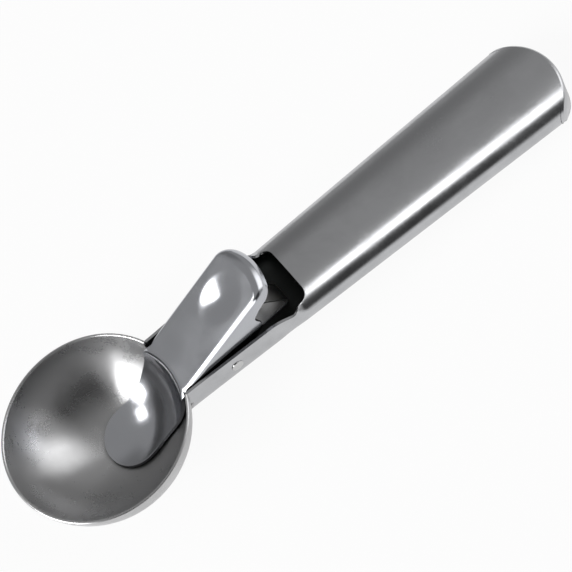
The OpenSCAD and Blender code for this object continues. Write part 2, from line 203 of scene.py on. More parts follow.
class Wire:
    """A socket in a material's node tree."""

    def __init__(self, finish, socket):
        self.finish = finish
        self.socket = socket

    __add__, __radd__ = operator("ADD"), operator("ADD", swapped=True)
    __sub__, __rsub__ = operator("SUBTRACT"), operator("SUBTRACT", swapped=True)
    __mul__, __rmul__ = operator("MULTIPLY"), operator("MULTIPLY", swapped=True)


print("a wire adds, subtracts and multiplies")

# %% A tree of nodes, one call at a time


class Finish:
    """A material, or the world, and its nodes."""

    def __init__(self, name, owner=None):
        self.material = owner or bpy.data.materials.new(name)
        self.material.use_nodes = True
        self.tree = self.material.node_tree
        self.tree.nodes.clear()

    def node(self, kind, settings=None, sockets=None, out=0):
        """Adds a node, sets its settings, then its sockets' values or links. Gives one output."""
        made = self.tree.nodes.new(kind)
        for key, value in (settings or {}).items():
            if key == "stops":
                while len(made.color_ramp.elements) < len(value):
                    made.color_ramp.elements.new(1.0)
                for element, (at, grey) in zip(made.color_ramp.elements, value):
                    element.position = at
                    element.color = (grey, grey, grey, 1)
            else:
                setattr(made, key, value)
        for key, value in (sockets or {}).items():
            if isinstance(value, Wire):
                self.tree.links.new(value.socket, made.inputs[key])
            else:
                made.inputs[key].default_value = value
        return Wire(self, made.outputs[out]) if made.outputs else None

    def close(self, kind, result):
        """Ends the tree with its output node."""
        self.node(kind, {}, {"Surface": result})
        return self.material

    def maths(self, operation, first, second=0.0):
        return self.node("ShaderNodeMath", {"operation": operation}, {0: first, 1: second})

    def vector(self, operation, first, second=(0, 0, 0), out="Vector"):
        return self.node("ShaderNodeVectorMath", {"operation": operation},
                         {0: first, 1: second}, out)

    def place(self, stretch=(1, 1, 1)):
        """A surface point in millimetres, stretched."""
        point = self.node("ShaderNodeTexCoord", out="Object")
        return self.node("ShaderNodeMapping", {"vector_type": "POINT"},
                         {"Vector": point, "Scale": [1000 * s for s in stretch]})

    def rings(self, stretch):
        """Distance from the bowl's axis, height on it and place across, stretched."""
        centre, axis = tuple(to_row((0, 0, 0)) * 1000), tuple(lay @ [0, 0, 1])
        away = self.vector("SUBTRACT", self.place(), centre)
        height = self.vector("DOT_PRODUCT", away, axis, "Value")
        square = self.vector("CROSS_PRODUCT", away, axis)
        radius = self.vector("LENGTH", square, out="Value")
        side = self.node("ShaderNodeSeparateXYZ", {}, {0: away}, "Y")
        return self.node("ShaderNodeCombineXYZ", {}, {
            0: radius * stretch[0], 1: height * stretch[1], 2: side * stretch[2]})

    def noise(self, at, scale, detail, rough, twist=0.0):
        """Soft noise from 0 to 1, with features about 1 / scale millimetres apart."""
        return self.node("ShaderNodeTexNoise", {}, {
            "Vector": at, "Scale": scale, "Detail": detail, "Roughness": rough,
            "Distortion": twist})

    def ramp(self, value, *stops):
        """A value bent through stops of (position, grey)."""
        return self.node("ShaderNodeValToRGB", {"stops": stops}, {"Fac": value})

    def mix(self, share, first, second):
        """A colour between two colours."""
        return self.node("ShaderNodeMix", {"data_type": "RGBA"},
                         {0: share, 6: first, 7: second}, out=2)


print("shader helpers ready")

# %% [markdown]
# ## Eight finishes of one steel
# Each finish also has painted shade: its colour turns near black in corners and where parts lie
# close.
# The whole scoop is stainless steel without paint or plating, yet no two parts look alike. The
# handle was brushed to a satin, the bowl was spun and polished and has been scraped by years of
# ice cream, and the lever was pressed from bright sheet. So one recipe makes them all from a few
# numbers: how grey, how rough, which way the grain runs and how strong its scratches are.
#
# The bowl is a special case: a spun surface mirrors in fans that run from its middle to its rim,
# and a constant anisotropy on the shader gives that.

# %% Steel recipe
# worn_grey is how much worn patches darken. The next two are the painted shade: its near-black
# colour, and how much of it goes where ambient occlusion finds a corner.
worn_grey, painted_shade_black, painted_shade_cover = 0.8, (0.03, 0.03, 0.032, 1), 0.85
streak_tone, fine_rough, worn_rough, line_rough = 0.10, 0.10, 0.08, 0.10
streak_bump, fine_bump, bump_distance = 0.5, 0.25, 0.00002


def steel_finish(name, grey, rough, grain, grain_strength, blotch, scratch,
                 rings=False, shade_reach=1.0, **constants):
    """Bare steel. grain stretches the brushing in X, Y and Z, or round the bowl's axis.

    blotch is how much worn patches darken it, scratch how deep stray lines are, and crevice how
    far from a corner the painted shade reaches. constants go on the shader's own sockets.
    """
    f = Finish(name)
    at = f.place()
    along = f.rings(grain) if rings else f.place(grain)
    streaks = f.noise(along, scale=4.0, detail=4.0, rough=0.6)
    fine = f.noise(at, scale=1.6, detail=5.0, rough=0.7)
    lines = f.ramp(f.noise(along, scale=1.1, detail=6.0, rough=0.75), (0.60, 0.0), (0.72, 1.0))
    worn = f.ramp(f.noise(at, scale=0.09, detail=3.0, rough=0.55, twist=0.4),
                  (0.35, 0.0), (0.65, 1.0))
    # Painted shade: ambient occlusion darkens the base colour in corners and where parts lie close,
    # as a contact shadow.
    corner = f.node("ShaderNodeAmbientOcclusion", {"samples": 8},
                    {"Distance": shade_reach / 1000}, out="AO")
    painted_shade = f.ramp(corner, (0.25, 1.0), (0.8, 0.0))
    shade = 1 - blotch * worn - streak_tone * (streaks - 0.5)
    tone = f.mix(shade, [worn_grey * c for c in grey] + [1], list(grey) + [1])
    bump = streaks * streak_bump + fine * fine_bump + lines * scratch
    shader = f.node("ShaderNodeBsdfPrincipled", {}, {
        "Base Color": f.mix(painted_shade * painted_shade_cover, tone, painted_shade_black),
        "Metallic": 1.0,
        "Roughness": (rough + fine_rough * (fine - 0.5) + worn_rough * worn
                      + line_rough * scratch * lines),
        "Normal": f.node("ShaderNodeBump", {}, {
            "Strength": grain_strength, "Distance": bump_distance, "Height": bump}),
        **constants})
    return f.close("ShaderNodeOutputMaterial", shader)


print("one recipe for every steel")

# %% The eight finishes
satin = steel_finish("satin_handle", (0.56, 0.565, 0.58), 0.18, (0.04, 1, 1), 0.8, 0.55, 0.3)
spun = {"Anisotropic": 0.85, "Anisotropic Rotation": 0.25}
# The bowl's painted shade reaches 3 mm, so the bowl turns dark round the tongue that lies in it.
polished = steel_finish("polished_bowl", (0.60, 0.60, 0.605), 0.25, (1, 1, 0.05), 0.3, 0.15, 1.0,
                        rings=True, shade_reach=3.0, **spun)
pressed = steel_finish("pressed_lever", (0.53, 0.54, 0.57), 0.11, (0.1, 1, 1), 0.12, 0.12, 0.3)
welded = steel_finish("weld_metal", (0.50, 0.50, 0.50), 0.36, (1, 0.3, 1), 0.5, 0.3, 0.5)
spring_steel = steel_finish("spring_leaf", (0.90, 0.90, 0.89), 0.30, (0.1, 1, 1), 0.12, 0.1, 0.3,
                            shade_reach=0.3)
rivet_steel = steel_finish("rivet_steel", (0.64, 0.64, 0.64), 0.09, (1, 1, 1), 0.2, 0.2, 0.3)
# Painted shade: a near-black finish for the lever's cut edges and bevels, which draws a dark line
# round the tongue where the gap to the bowl is in shadow.
edge_shadow = steel_finish("dark_edge_shadow", (0.08, 0.08, 0.085), 0.35, (1, 1, 1), 0.3, 0.2, 0.3)
# Painted shade: a near-black finish for the inner faces of the handle's sheet and of its seam, for
# the shade inside the tube.
painted_inside_shade = steel_finish("painted_inside_shade", (0.035, 0.037, 0.036), 0.50, (0.2, 1, 1), 0.3, 0.3, 0.3)
print("finishes:", [m.name for m in bpy.data.materials])

# %% [markdown]
# ## Floor
# The floor is one white square. Light enough to make it look white would bleach the steel, so the
# camera and mirror rays see most of it as a glow of its own, by Light Path. The rest is diffuse
# and takes the scoop's shadow.

# %% Floor


def plain_white(name, shown, mirrored, lit):
    """A pale surface. shown and mirrored are the shares of its glow in view and in reflections."""
    f = Finish(name)
    seen = (shown * f.node("ShaderNodeLightPath", out="Is Camera Ray")
            + mirrored * f.node("ShaderNodeLightPath", out="Is Glossy Ray"))
    paper = f.node("ShaderNodeBsdfDiffuse", {}, {"Color": (lit, lit, lit, 1)})
    glow = f.node("ShaderNodeEmission", {}, {"Color": (1, 1, 1, 1), "Strength": 1.0})
    both = f.node("ShaderNodeMixShader", {}, {"Fac": seen, 1: paper, 2: glow})
    return f.close("ShaderNodeOutputMaterial", both)


floor_half = 3.0
corners = [(floor_half * x, floor_half * y, 0) for x, y in ((-1, -1), (1, -1), (1, 1), (-1, 1))]
floor = in_scene("floor", bpy.data.meshes.new("floor"))
floor.data.from_pydata(corners, [], [(0, 1, 2, 3)])
floor.data.materials.append(plain_white("pale_floor", shown=0.93, mirrored=0.60, lit=0.8))
floor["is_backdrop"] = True
print("floor", 2 * floor_half, "m square")

# %% [markdown]
# ## Tent
# Bare steel has no colour of its own to show: it shows the room. Studios put such things in a pale
# tent with a few openings and dark cards. Real walls and lamps would be slow to render and noisy,
# so the world is the tent: an even grey, with a soft patch for each opening or card.

# %% Tent
# Azimuth and height of the middle, half the width and height and how soft the edge is, all in
# degrees, and the brightness.
tent_grey, backdrop_white = 0.36, 0.965
tent = {
    "dark side": (-92, 42, 32, 24, 9, 0.05),
    "near wall": (-75, 2, 35, 12, 5, 0.7),
    "far side": (85, 36, 20, 14, 8, 0.22),
    "open front": (-4, 30, 17, 26, 10, 1.9),
    "window": (-170, 29, 17, 13, 3, 9.5),
    "small window": (157, 44, 5.5, 6, 2, 5.5),
}


def facing(azimuth, height):
    """Directions to a place on the tent, across it and up it."""
    a, h = radians(azimuth), radians(height)
    forward = Vector((cos(h) * cos(a), cos(h) * sin(a), sin(h)))
    across = Vector((-sin(a), cos(a), 0))
    return tuple(forward), tuple(across), tuple(-forward.cross(across))


world = bpy.data.worlds.new("tent")
bpy.context.scene.world = world
f = Finish("tent", world)
look = f.node("ShaderNodeTexCoord", out="Generated")
bright = tent_grey
for azimuth, height, half_w, half_h, soft, strength in tent.values():
    forward, across, upward = facing(azimuth, height)
    ahead = f.vector("DOT_PRODUCT", look, forward, "Value")
    inside = 1
    for direction, half in ((across, half_w), (upward, half_h)):
        beside = f.vector("DOT_PRODUCT", look, direction, "Value")
        off = f.maths("ABSOLUTE", f.maths("ARCTAN2", beside, ahead))
        inside = inside * f.node("ShaderNodeMapRange", {"interpolation_type": "SMOOTHSTEP"}, {
            "Value": off, "From Min": radians(half + soft),
            "From Max": radians(half - soft)})
    bright = bright + inside * (strength - bright)
bright = bright + f.node("ShaderNodeLightPath", out="Is Camera Ray") * (backdrop_white - bright)
glow = f.node("ShaderNodeBackground", {}, {"Color": (1, 1, 1, 1), "Strength": bright})
f.close("ShaderNodeOutputWorld", glow)
print("tent:", ", ".join(tent))

# %% [markdown]
# ## Lamps
# Two thin highlights need more than the tent: the line along the handle's shoulder, and the rolled
# edge of the lever. Each gets a softbox of its own. What it lights is said at the end.

# %% Lamps


def softbox(name, at, size, power, aim, along):
    """A lamp of a length and width in metres that faces a point. Its length lies along."""
    lamp = bpy.data.lights.new(name, "AREA")
    lamp.shape = "RECTANGLE"
    lamp.size, lamp.size_y = size
    lamp.energy = power
    back = (Vector(at) - Vector(aim)).normalized()
    up = back.cross(Vector(along)).normalized()
    box = in_scene(name, lamp)
    stand(box, at, up.cross(back), up, back)
    return box


strip_lamp = softbox("handle_strip", at=(0.086, -0.040, 0.17), size=(0.15, 0.050), power=0.062,
                     aim=(0.045, -0.010, 0.02), along=(1, -0.1, 0))
edge_lamp = softbox("lever_edge", at=(-0.42, -0.34, 0.22), size=(0.62, 0.34), power=1.4,
                    aim=(-0.03, 0, 0.025), along=(0.65, -0.76, 0))
print("lamps:", strip_lamp.name, edge_lamp.name)

# %% [markdown]
# ## Sheet from a grid
# Every large piece here is bent sheet. Each is drawn as one skin of quads on the outer face, then
# Solidify gives it the sheet's thickness and Bevel rounds the cut edges, which catch the light.

# %% Pieces, their thickness and their cut edges
same_point, no_length, cut_edge_turn = 2e-6, 1e-6, radians(50)


def add_piece(name, points, faces, material, node, body="scoop"):
    """A mesh piece from points of the maker's frame, in the place of a node of the model."""
    mesh = bpy.data.meshes.new(name)
    mesh.from_pydata(to_row(points).tolist(), [], faces)
    mesh.validate()
    made = bmesh.new()
    made.from_mesh(mesh)
    bmesh.ops.remove_doubles(made, verts=made.verts, dist=same_point)
    bmesh.ops.dissolve_degenerate(made, edges=made.edges, dist=no_length)
    made.to_mesh(mesh)
    made.free()
    mesh.shade_smooth()
    piece = in_scene(name, mesh)
    mesh.materials.append(material)
    if body:
        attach(piece, body)
    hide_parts(node)
    return piece


def modifier(piece, name, kind, **settings):
    """Adds a modifier with its settings."""
    made = piece.modifiers.new(name, kind)
    for key, value in settings.items():
        setattr(made, key, value)


def sheet(piece, thickness, edge, segments=3, offset=-1, inside=None, rim=None):
    """Gives a skin its thickness and rounds its cut edges. inside and rim are other finishes."""
    for other in (inside, rim):
        if other:
            piece.data.materials.append(other)
    modifier(piece, "thickness", "SOLIDIFY", thickness=thickness / 1000, offset=offset,
             use_quality_normals=True, material_offset=1 if inside else 0,
             material_offset_rim=1 if rim else 0)
    modifier(piece, "edge", "BEVEL", width=edge / 1000, segments=segments, limit_method="ANGLE",
             angle_limit=cut_edge_turn, use_clamp_overlap=True, material=1 if rim else -1)
    modifier(piece, "normals", "WEIGHTED_NORMAL", keep_sharp=True)


def bake_modifiers(piece):
    """Makes the modifiers' result the piece's own mesh."""
    bpy.context.view_layer.update()
    shaped = piece.evaluated_get(bpy.context.evaluated_depsgraph_get())
    made = bpy.data.meshes.new_from_object(shaped)
    piece.modifiers.clear()
    piece.data = made


print("piece helpers ready")

# %% Quads between rows of points


def grid(rows, columns, first=0, flip=False):
    """Quads between rows x columns points that are numbered row by row."""
    quads = []
    for i in range(rows - 1):
        for j in range(columns - 1):
            a = first + i * columns + j
            quad = (a, a + 1, a + columns + 1, a + columns)
            quads.append(quad[::-1] if flip else quad)
    return quads


def patchwork(*patches):
    """Points and quads of several grids. Each patch is a grid of points and whether to flip it."""
    points, faces = [], []
    for patch, flip in patches:
        faces += grid(patch.shape[0], patch.shape[1], len(points), flip)
        points += list(patch.reshape(-1, 3))
    return points, faces


def bands(rings, count):
    """Quads between closed rings of count points each."""
    quads = []
    for a in range(0, (rings - 1) * count, count):
        quads += [(a + j, a + count + j, a + count + (j + 1) % count, a + (j + 1) % count)
                  for j in range(count)]
    return quads


def ease(value):
    """A smooth step from 0 to 1."""
    t = min(max(value, 0.0), 1.0)
    return t * t * (3 - 2 * t)


def last_place(holds, low, high):
    """Halves a span to find the last place at which a condition that holds at low still does."""
    for _ in range(40):
        middle = (low + high) / 2
        low, high = (middle, high) if holds(middle) else (low, middle)
    return low


print("mesh helpers ready")

# %% [markdown]
# ## Bowl
# The real bowl is spun from a disc, so it is a lathe shape: one profile turned round an upright
# axis. The rim is buffed to a round lip. The profile runs from the middle of the inside up to the
# lip and down the outside, and the notch that lets the lever through is cut with a Boolean.

# %% Bowl's profile
lip_r, profile_steps, bowl_turns = bowl_t / 2, 40, 192


def bowl_curve(angle, inset):
    """Radius and height on the bowl's profile, moved in from its outside."""
    c, s = cos(angle), sin(angle)
    across, down = c / rim_r, s / bowl_depth
    size = hypot(across, down)
    return rim_r * c - inset * across / size, -bowl_depth * s + inset * down / size


def bowl_profile():
    """Points (radius, height) from the middle of the inside over the lip to the middle below."""
    start = asin(lip_r / bowl_depth)
    steps = [start + (pi / 2 - start) * i / profile_steps for i in range(profile_steps + 1)]
    inside = [bowl_curve(a, bowl_t) for a in reversed(steps)]
    outside = [bowl_curve(a, 0) for a in steps]
    middle = (inside[-1][0] + outside[0][0]) / 2
    turns = [radians(a) for a in range(15, 180, 15)]
    lip = [(middle - lip_r * cos(a), -lip_r + lip_r * sin(a)) for a in turns]
    return inside + lip + outside


def lathe(profile, turns):
    """Rings of a profile turned round the Z axis, and the quads between them."""
    points, quads, count = [], [], len(profile)
    for k in range(turns):
        a = 2 * pi * k / turns
        points += [(r * cos(a), r * sin(a), z) for r, z in profile]
        this, after = k * count, (k + 1) % turns * count
        quads += [(this + j, this + j + 1, after + j + 1, after + j) for j in range(count - 1)]
    return points, quads


points, faces = lathe(bowl_profile(), bowl_turns)
bowl = add_piece("bowl_spun", points, faces, polished, "bowl")
print("bowl:", len(points), "points")

# %% Notch for the lever
sharp_turn = radians(40)


def cut_box(piece, xs, ys, zs):
    """Cuts a box of the maker's frame out of a piece. Each span is (low, high)."""
    corners = [(x, y, z) for x in xs for y in ys for z in zs]
    sides = [(0, 1, 3, 2), (4, 6, 7, 5), (0, 4, 5, 1), (2, 3, 7, 6), (0, 2, 6, 4), (1, 5, 7, 3)]
    cutter = in_scene("cutter", bpy.data.meshes.new("cutter"))
    cutter.data.from_pydata(to_row(corners).tolist(), [], sides)
    modifier(piece, "notch", "BOOLEAN", operation="DIFFERENCE", object=cutter, solver="EXACT")
    bake_modifiers(piece)
    bpy.data.objects.remove(cutter)


notch_half = front_half + sheet_t / 2
cut_box(bowl, (rim_r / 2, 2 * rim_r), (-notch_half, notch_half), (-notch_depth, notch_depth))
bowl.data.set_sharp_from_angle(angle=sharp_turn)
print("bowl with its notch:", len(bowl.data.vertices), "points")

# %% [markdown]
# ## Handle
# One sheet makes the handle and the neck: a closed oval behind the window and an open trough in
# front of it. A grid fits this well: each row is a section across the handle, from the edge of the
# window down one side to the seam below.

# %% Handle sections
section_steps = 400


def oval(angle, width, low, high, n):
    """A point (y, z) of an oval between an ellipse (n = 2) and a rectangle."""
    c, s = cos(angle), sin(angle)
    y = width / 2 * copysign(abs(c) ** (2 / n), c)
    z = (high + low) / 2 + (high - low) / 2 * copysign(abs(s) ** (2 / n), s)
    return y, z


def tube_rise(y, w, h):
    """How far the tube's top is above its middle, at a place across."""
    return h / 2 * (1 - abs(2 * y / w) ** tube_n) ** (1 / tube_n)


def neck_width(x):
    return np.interp(x, (rim_r, neck_back), (neck_front_w, neck_back_w))


def section(x, angle):
    """A point (y, z) of the handle's outer face at a distance x from the middle of the bowl."""
    w, h = tube_size(max(x, tube_start))
    neck = oval(angle, neck_width(x), -neck_depth, neck_depth, neck_n)
    tube = oval(angle, w, -h, 0, tube_n)
    share = ease((x - neck_back) / closing_len)
    return tuple((1 - share) * a + share * b for a, b in zip(neck, tube))


def window_half(x):
    """Half the width of the opening in the handle's top."""
    half, r = window_w / 2, window_corner_r
    if x <= window_back - r:
        return np.interp(x, (rim_r, neck_back, tube_start - r / 2),
                         (front_half, neck_back_w / 2 - sheet_t, half))
    return half - r + sqrt(max(r * r - (x - window_back + r) ** 2, 0))


def angle_at(x, half):
    """The angle at which a section comes up to the rim's level, or in to a half width."""
    level = 0
    if neck_back < x < tube_start:  # the level sinks to the tube's shoulder
        w, h = tube_size(tube_start)
        shoulder = -h / 2 + tube_rise(window_w / 2, w, h)
        half, level = 0, shoulder * (x - neck_back) / closing_len

    def beside(angle):
        y, z = section(x, angle)
        return y > half and z < level

    return last_place(beside, 0.0, pi / 2)


def end_x(y, z):
    """How far back the leaning, bowed end reaches."""
    end_r = ((tube_back_w / 2) ** 2 + end_sag ** 2) / (2 * end_sag)
    sag = end_r - sqrt(end_r ** 2 - y * y)
    return handle_back - sag / cos(face_lean) - (z + tube_back_h / 2) * tan(face_lean)


def bowl_x(y, z):
    """How far back the bowl's outside reaches."""
    return sqrt(rim_r ** 2 * (1 - (z / bowl_depth) ** 2) - y * y)


def side_section(x, count, top):
    """Evenly spaced points down one side of the handle, from an angle at the top to the seam."""
    raw = np.array([section(x, a) for a in np.linspace(top, -pi / 2, section_steps)])
    if x > window_back:
        raw = raw[raw[:, 0] >= seam_w / 2]
    steps = np.r_[0, np.cumsum(np.linalg.norm(np.diff(raw, axis=0), axis=1))]
    even = np.linspace(0, steps[-1], count)
    return np.c_[np.interp(even, steps, raw[:, 0]), np.interp(even, steps, raw[:, 1])]


print("neck", round(neck_width(pivot[0]), 2), "mm wide at the pin")

# %% [markdown]
# Rows are closer where the shape changes faster: where the neck closes and round the window's
# corner. The first row lies on the bowl, and the next few ease to straight sections. The end's edge
# is rounded, so the last rows lead up to a small roll and go round it.

# %% Where the handle's rows lie
neck_start, neck_step, window_lap, tube_rows = 3, 2, 0.05, 40
fit_from, fit_to, fit_pace = rim_r - 4, rim_r + 8, 0.9
straight_rows, roll_rows, corner_roll = 8, 8, 1.1
corner_start = window_back - window_corner_r
tube_run = corner_x - tube_back_h - window_back

stations = [rim_r - neck_start + i for i in range(0, neck_len + neck_start, neck_step)]
stations += [neck_back + i for i in range(closing_len)]
stations += [corner_start + window_corner_r * sin(radians(a)) for a in range(0, 91, 10)]
stations += [window_back + window_lap]
stations += [window_back + tube_run * i / tube_rows for i in range(1, tube_rows + 1)]
stations = sorted(set(round(x, 4) for x in stations))
last = stations[-1]
ends = [(i / straight_rows, 0.0) for i in range(1, straight_rows + 1)]
ends += [(1.0, pi / 2 * i / roll_rows) for i in range(1, roll_rows + 1)]


def to_the_end(places):
    """Rows (place, None) for places along the handle, then (last place, end) for its end."""
    return [(x, None) for x in places] + [(last, end) for end in ends]


def end_point(y, z, run, turn):
    """A point of the last rows: run leads up to the rolled edge, and turn goes round it."""
    w0, h0 = tube_size(last)
    at = last + (end_x(y, z) - corner_roll - last) * run
    w, h = tube_size(at)
    inset = corner_roll * (1 - cos(turn))
    y = y * (w - 2 * inset) / w0
    z = -h / 2 + (z + h0 / 2) * (h - 2 * inset) / h0
    if turn:
        at = end_x(y, z) - corner_roll * (1 - sin(turn))
    return at, y, z


def neck_x(x, y, z):
    """A row's place along the handle, pulled to the bowl's curve close to the bowl."""
    if x == stations[0]:
        return bowl_x(y, z)
    if x >= fit_to:
        return x
    share = ease((x - fit_from) / (fit_to - fit_from))
    return x * share + (bowl_x(y, z) + (x - stations[0]) * fit_pace) * (1 - share)


print(len(stations), "rows along the handle and", len(ends), "at its end")

# %% Handle mesh
side_count, strip_count = 41, 25
strip_half = window_w / 2 - window_corner_r
rows = to_the_end(stations)
side = []
for x, end in rows:
    half = window_half(x) if x <= window_back else strip_half
    for y, z in side_section(x, side_count, angle_at(x, half)):
        side.append(end_point(y, z, *end) if end else (neck_x(x, y, z), y, z))
side = np.array(side).reshape(len(rows), side_count, 3)

# Behind the window, a strip closes the top between the two sides.
top_first = next(i for i, (x, end) in enumerate(rows) if abs(x - window_back) < 1e-3)
strip = []
for i in range(top_first, len(rows)):
    x, end = rows[i]
    w, h = tube_size(x)
    edge_y = side[min(i, len(stations) - 1), 0, 1]
    for y in edge_y * np.linspace(1, -1, strip_count):
        z = -h / 2 + tube_rise(y, w, h)
        strip.append(end_point(y, z, *end) if end else (x, y, z))
strip = np.array(strip).reshape(-1, strip_count, 3)
strip[:, 0] = side[top_first:, 0]
strip[:, -1] = side[top_first:, 0] * [1, -1, 1]

points, faces = patchwork((side, True), (side * [1, -1, 1], False), (strip, False))
handle = add_piece("handle_sheet", points, faces, satin, "handle_shell")
# Its inner faces take the near-black painted shade of the tube's inside.
sheet(handle, sheet_t, edge=0.22, inside=painted_inside_shade)
print("handle:", len(handle.data.vertices), "points")

# %% [markdown]
# ## Lever
# The lever is one stamping. Its skin starts at the round tip of the tongue, follows the bowl's
# inside up to the rim, bends back over the notch and runs on as the flat thumb plate. The tongue
# keeps an even gap to the bowl, so it lies on an ellipsoid too, and the bend is an arc that meets
# the tongue and the plate without a kink.

# %% Lever sections
plate_x = rim_r - bowl_t - tongue_gap - lever_t
shell_a, shell_b = plate_x, bowl_depth - bowl_t - tongue_gap - lever_t
bend_r, bend_span = 3.0, (radians(40), radians(89.9))
rise_tan, rise_cos, rise_sin = tan(plate_rise), cos(plate_rise), sin(plate_rise)


def from_plate(s, y, d):
    """A point of the plate's own plane: s along it, y across, d above its top."""
    return np.array([plate_x + s * rise_cos - d * rise_sin, y,
                     -plate_drop + s * rise_sin + d * rise_cos])


def tongue_point(psi, y):
    """A point and its downward normal on the tongue's top, at an angle from straight down."""
    k = sqrt(1 - (y / shell_a) ** 2)
    point = np.array([shell_a * k * sin(psi), y, -shell_b * k * cos(psi)])
    normal = point / np.array([shell_a ** 2, shell_a ** 2, shell_b ** 2])
    return point, normal / np.linalg.norm(normal)


def bend_at(y):
    """The angle at which the bend starts on the tongue, its middle and its own first angle."""

    def start_and_middle(psi):
        point, normal = tongue_point(psi, y)
        flat = np.array([normal[0], 0, normal[2]])
        return point, point + bend_r * flat / np.linalg.norm(flat)

    def below_plate(psi):
        middle = start_and_middle(psi)[1]
        return middle[2] + bend_r / rise_cos < (middle[0] - plate_x) * rise_tan - plate_drop

    psi = last_place(below_plate, *bend_span)
    point, middle = start_and_middle(psi)
    start = point - middle
    return psi, middle, atan2(start[2], start[0])


def plate_start(y):
    """Distance along the plate at which the bend ends."""
    middle = bend_at(y)[1]
    return (middle[0] - plate_x) * rise_cos + (middle[2] + plate_drop) * rise_sin


print("bend ends %.2f mm along the plate in the middle and %.2f at the side"
      % (plate_start(0), plate_start(lever_half)))

# %% [markdown]
# The thumb end is a flat arc between two tighter ones, and a shallow pad is pressed into the plate.
# Each row crosses the lever. Behind the bend its outer columns turn down more and more, which is
# how the press rolls the edges.

# %% Lever outline
flat_columns, roll_columns, corner_steps = 29, 8, 9
columns, end_steps = flat_columns + 2 * roll_columns, flat_columns - 1
tip_r = tongue_w / 2
tip_x = tip_r - tongue_past
corner_y = lever_half - thumb_corner_r
corner_turn = asin(corner_y / (thumb_r - thumb_corner_r))
arc_x = plate_len - thumb_r
corner_s = arc_x + (thumb_r - thumb_corner_r) * cos(corner_turn)
dish_s = plate_len - dish_back
dish_half_len, dish_half_w = dish_w * 0.68, dish_w * 0.52
barely_rolled = 0.01


def end_outline(i, inset, pull):
    """The thumb end's outline at station i: (s, y, share of the end's roll).

    It runs from one side (0) over the corner arc, the flat end arc and the other corner arc.
    """
    if i > corner_steps + end_steps:
        s, y, share = end_outline(2 * corner_steps + end_steps - i, inset, pull)
        return s, -y, share
    if i < corner_steps:
        a = pi / 2 + (corner_turn - pi / 2) * i / corner_steps
        share = i / corner_steps
        r = thumb_corner_r - inset
        return corner_s - pull * share + r * cos(a), corner_y + r * sin(a), share
    a = corner_turn * (1 - 2 * (i - corner_steps) / end_steps)
    return arc_x - pull + (thumb_r - inset) * cos(a), (thumb_r - inset) * sin(a), 1.0


def dish(s, y):
    """Depth of the pressed pad below the plate."""
    return dish_depth * (1 - ease(hypot((s - dish_s) / dish_half_len, y / dish_half_w)))


def across(surface, half, rolled):
    """One row of the skin. surface gives a point and a downward normal at a place across."""
    steps = [pi / 2 * g / roll_columns for g in range(1, roll_columns + 1)]
    curl = [(side_roll * step, 0.0) for step in steps]
    if rolled > barely_rolled:
        r = side_roll / rolled
        curl = [(r * sin(rolled * a), r * (1 - cos(rolled * a))) for a in steps]
    flat_half = half - curl[-1][0]
    edge = [(flat_half + out, drop) for out, drop in curl]
    places = [(-y, drop) for y, drop in reversed(edge)]
    places += [(y, 0.0) for y in np.linspace(-flat_half, flat_half, flat_columns)]
    row = []
    for y, drop in places + edge:
        point, down = surface(y)
        row.append(point + drop * down)
    return row


print("thumb end's corners turn", round(degrees(corner_turn), 1), "degrees")

# %% Surfaces that the rows lie on
full_x, blend_run, roll_run, bend_roll = 22, 4, 2.4, 0.3
plate_down = from_plate(0, 0, -1) - from_plate(0, 0, 0)


def tongue_half(x):
    """Half the tongue's width at a distance x from the middle of the bowl."""
    waist = waist_w / 2
    if x <= waist_x:
        return tip_r + (waist - tip_r) * ease((x - tip_x) / (waist_x - tip_x))
    return waist + (lever_half - waist) * ease((x - waist_x) / (full_x - waist_x))


def psi_at(x, y):
    """The angle from straight down at a place in plan."""
    return asin(x / (shell_a * sqrt(1 - (y / shell_a) ** 2)))


def on_tongue(share, y):
    """The tongue at a share of the way from its waist to the bend."""
    start = psi_at(waist_x, y)
    return tongue_point(start + (bend_at(y)[0] - start) * share, y)


def on_bend(share, y):
    """The bend at a share of its turn."""
    middle, start = bend_at(y)[1:]
    angle = start + (pi / 2 + plate_rise - start) * share
    away = np.array([cos(angle), 0, sin(angle)])
    return middle + bend_r * away, -away


def on_plate(s, blend, y):
    """The plate at s along it. Where blend is under 1, the row still follows the bend's end."""
    at = plate_start(y) * (1 - blend) + s * blend
    return from_plate(at, y, -dish(at, y)), plate_down


print("tongue", round(2 * tongue_half(0), 2), "mm wide at the bowl's middle")

# %% [markdown]
# At a round tip the rows of a grid would shrink to a point. Here the first row lies along the tip
# itself and the next ones straighten out, so all quads keep a fair shape.

# %% Lever skin
tip_turn, tip_rows, waist_rows = radians(52), 14, 8
tongue_rows, bend_rows, plate_rows = 24, 10, 48


def on_tip(angle):
    """A place on the tip's circle, of radius 1."""
    return np.array([-cos(angle), sin(angle)])


